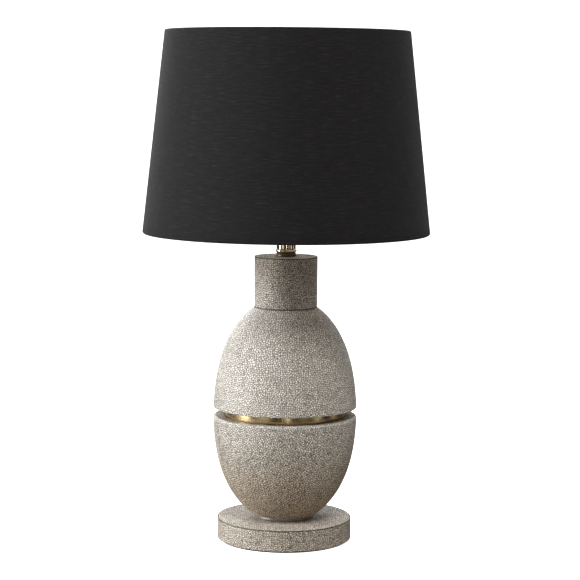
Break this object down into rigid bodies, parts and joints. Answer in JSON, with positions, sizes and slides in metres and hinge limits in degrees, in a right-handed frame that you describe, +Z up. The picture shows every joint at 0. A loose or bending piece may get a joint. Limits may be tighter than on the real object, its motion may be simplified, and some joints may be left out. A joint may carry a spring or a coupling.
{
  "type": "table lamp",
  "caption": "Table lamp: a two-part rounded body in pebbled shagreen on a round base, with a brass band at its waist, under a black tapered drum shade on a harp.",
  "frame": {"origin": "middle of the felt pad's underside, on the surface that the lamp stands on", "axes": "+Z up along the lamp's pipe; the harp lies in the XZ plane; the switch knob points along -Y and the cord inlet along +Y"},
  "size_m": [0.4064, 0.4064, 0.7232],
  "materials": {
    "felt": "black pressed felt",
    "board": "plain fibreboard, hidden",
    "iron": "rough cast, hidden",
    "shagreen": "pebbled ray-skin grain with pale beads and dark gaps, semi-gloss",
    "phenolic": "satin moulded black",
    "nickel": "aged grey metal, satin",
    "resin": "plain cast resin, hidden",
    "antique_brass": "antique brass, satin to polished",
    "bronze": "dark oiled bronze",
    "steel": "zinc-plated steel",
    "card": "brown fibre insulating card",
    "opal_glass": "frosted opal white",
    "bulb_metal": "bright rolled screw cap",
    "white_liner": "satin white shade backing",
    "black_fabric": "fine black slub weave, matt"
  },
  "bodies": {
    "lamp": {"base_felt_pad": "felt", "base_core": "board", "base_weight": "iron", "base_side_band": "shagreen", "base_top_panel": "shagreen", "cord_grommet": "phenolic", "foot_ring": "nickel", "bowl_core": "resin", "bowl_skin": "shagreen", "brass_band": "antique_brass", "dome_core": "resin", "dome_skin": "shagreen", "neck_core": "resin", "neck_side_band": "shagreen", "neck_top_panel": "shagreen", "threaded_rod": "steel", "bottom_washer": "steel", "bottom_nut": "steel", "neck_seat": "bronze", "check_ring": "antique_brass", "brass_neck": "antique_brass", "harp_saddle": "antique_brass", "socket_cap": "antique_brass", "socket_shell": "antique_brass", "socket_insulator": "card", "socket_body": "phenolic", "terminal_screw_brass": "antique_brass", "terminal_screw_silver": "steel", "screw_shell": "antique_brass", "centre_contact": "antique_brass"},
    "switch": {"switch_shaft": "antique_brass", "switch_knob": "phenolic"},
    "bulb_carrier": {"bulb_tip": "phenolic"},
    "bulb": {"bulb_glass": "opal_glass", "bulb_cap": "bulb_metal"},
    "harp": {"harp_bail": "antique_brass", "harp_stud": "antique_brass"},
    "ferrule_left": {"harp_ferrule_left": "antique_brass"},
    "ferrule_right": {"harp_ferrule_right": "antique_brass"},
    "shade": {"spider_hub": "antique_brass", "spider_arm_1": "antique_brass", "spider_arm_2": "antique_brass", "spider_arm_3": "antique_brass", "shade_top_ring": "antique_brass", "shade_bottom_ring": "antique_brass", "shade_liner": "white_liner", "shade_fabric": "black_fabric"},
    "finial": {"finial": "antique_brass"}
  },
  "joints": [
    {"name": "switch_turn", "type": "hinge", "parent": "lamp", "child": "switch", "pos_m": [0, -0.03, 0.467], "axis": [0, -1, 0], "continuous": true},
    {"name": "bulb_rise", "type": "slide", "parent": "lamp", "child": "bulb_carrier", "axis": [0, 0, 1], "range_m": [0, 0.0164]},
    {"name": "bulb_turn", "type": "hinge", "parent": "bulb_carrier", "child": "bulb", "pos_m": [0, 0, 0.49], "axis": [0, 0, 1], "range_deg": [0, 1620]},
    {"name": "harp_lift", "type": "slide", "parent": "lamp", "child": "harp", "axis": [0, 0, 1], "range_m": [0, 0.03]},
    {"name": "ferrule_left_slide", "type": "slide", "parent": "harp", "child": "ferrule_left", "axis": [0, 0, 1], "range_m": [0, 0.02]},
    {"name": "ferrule_right_slide", "type": "slide", "parent": "harp", "child": "ferrule_right", "axis": [0, 0, 1], "range_m": [0, 0.02]},
    {"name": "shade_turn", "type": "hinge", "parent": "harp", "child": "shade", "pos_m": [0, 0, 0.6953], "axis": [0, 0, 1], "continuous": true},
    {"name": "finial_turn", "type": "hinge", "parent": "harp", "child": "finial", "pos_m": [0, 0, 0.7], "axis": [0, 0, 1], "continuous": true}
  ],
  "couplings": [
    {"joint": "bulb_rise", "follows": "bulb_turn", "m_per_rad": 0.00057751}
  ]
}
